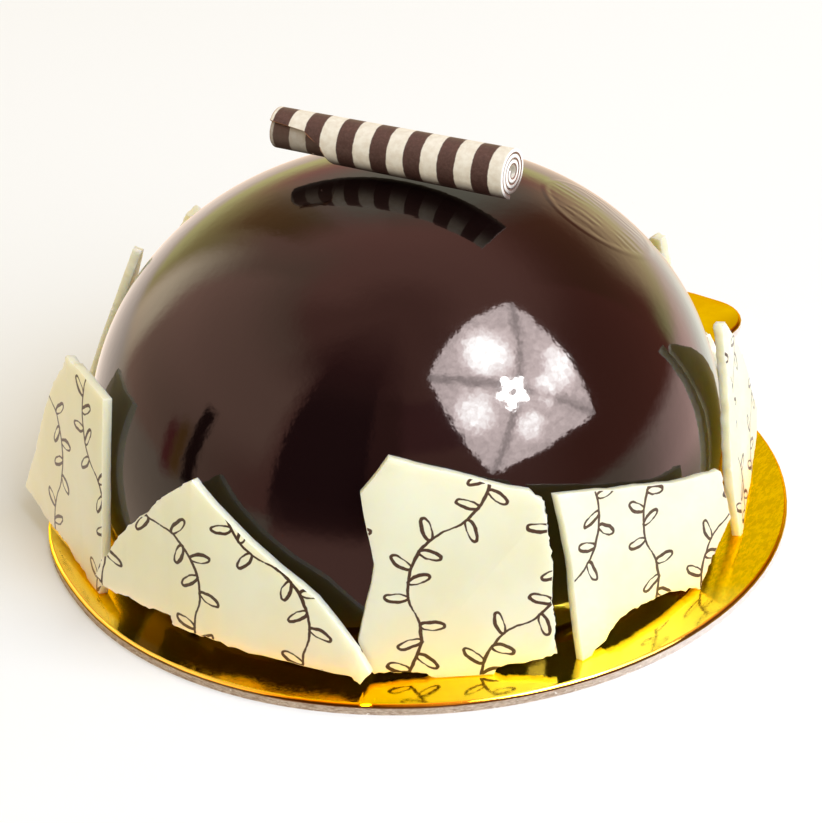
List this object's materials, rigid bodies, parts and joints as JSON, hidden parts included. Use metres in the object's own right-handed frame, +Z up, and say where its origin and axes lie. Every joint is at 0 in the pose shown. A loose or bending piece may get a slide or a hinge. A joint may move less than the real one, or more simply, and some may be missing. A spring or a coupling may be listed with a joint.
{
  "type": "bombe",
  "caption": "Dome of mousse under dark mirror glaze, ringed with broken printed white chocolate sheets, a striped chocolate roll on top, on a round gold card with a lifting tab.",
  "frame": {"origin": "middle of the round card's underside, on the surface that the card lies on", "axes": "+Z up; -Y is the side that faces the viewer; +X to the viewer's right"},
  "size_m": [0.0886, 0.0916, 0.0478],
  "materials": {
    "gold_card": "gold mirror foil on card",
    "dark_glaze": "wet-looking mirror glaze",
    "striped_chocolate": "satin, dark and ivory stripes",
    "white_chocolate": "satin, with a dark printed pattern"
  },
  "bodies": {
    "root": {"cake_card": "gold_card", "dome": "dark_glaze", "chocolate_roll": "striped_chocolate", "sheet_front": "white_chocolate", "sheet_front_left": "white_chocolate", "sheet_left": "white_chocolate", "sheet_back_left": "white_chocolate", "sheet_rear_left": "white_chocolate", "sheet_rear": "white_chocolate", "sheet_rear_right": "white_chocolate", "sheet_back_right": "white_chocolate", "sheet_right_rear": "white_chocolate", "sheet_right": "white_chocolate", "sheet_right_front": "white_chocolate", "sheet_front_right": "white_chocolate"}
  },
  "joints": []
}
